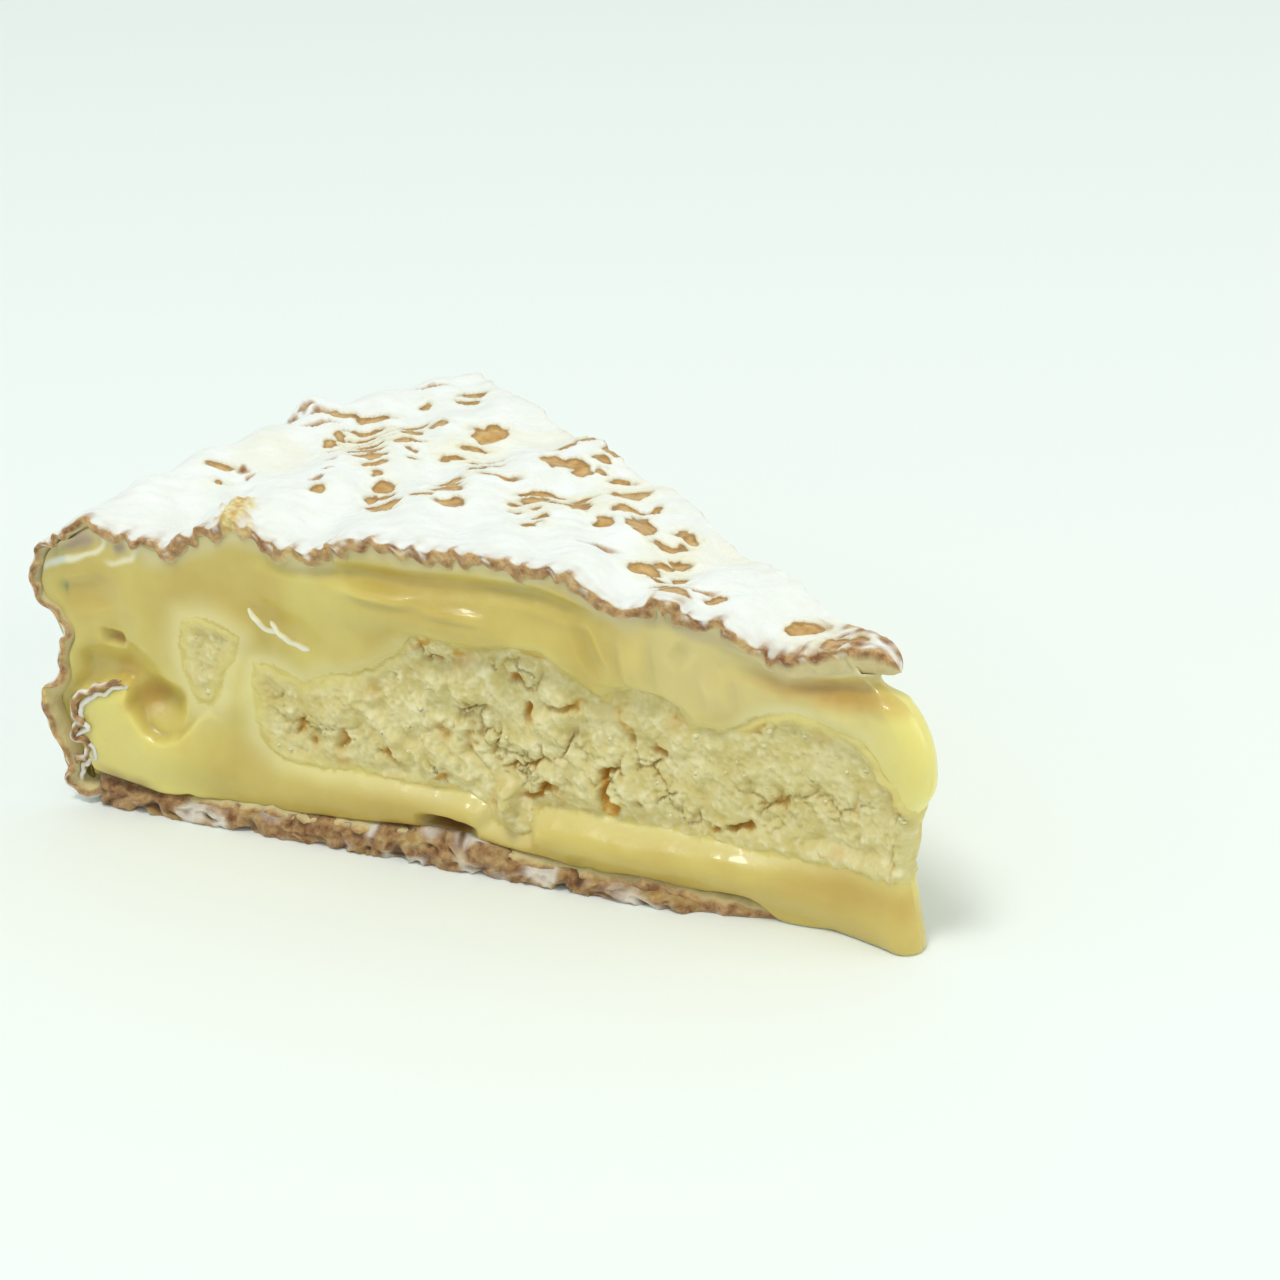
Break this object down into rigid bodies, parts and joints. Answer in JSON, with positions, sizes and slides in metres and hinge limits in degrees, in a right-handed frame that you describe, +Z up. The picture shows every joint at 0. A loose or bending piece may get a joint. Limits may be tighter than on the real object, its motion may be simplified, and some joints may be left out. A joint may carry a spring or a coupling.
{
  "type": "cheese wedge",
  "caption": "Wedge of soft-ripened cheese as cut, with a wrinkled white bloomy rind, runny cream rolling out of both cut faces and a crumbly chalky heart, lying on its flat underside.",
  "frame": {"origin": "centre of the bounding rectangle of the flat underside, on the surface it rests on", "axes": "+X from the rim towards the tip, along the line that halves the wedge; +Y towards the second cut face, so the first cut face looks to -Y; +Z up, from the underside to the top rind"},
  "size_m": [0.1258, 0.081, 0.0444],
  "materials": {
    "ripened_paste": "ripe, runny cheese cream: pale yellow, slightly translucent, smooth and moist with soft highlights",
    "chalky_paste": "unripe curd at the heart: off-white, matt, crumbly and pitted, with amber crevices",
    "bloomy_rind": "white felt of mould over thin wrinkled skin, with tan and ochre patches where the felt is worn; brown along the cut edges and underneath"
  },
  "bodies": {
    "root": {"cheese_wedge": "ripened_paste"}
  },
  "joints": []
}
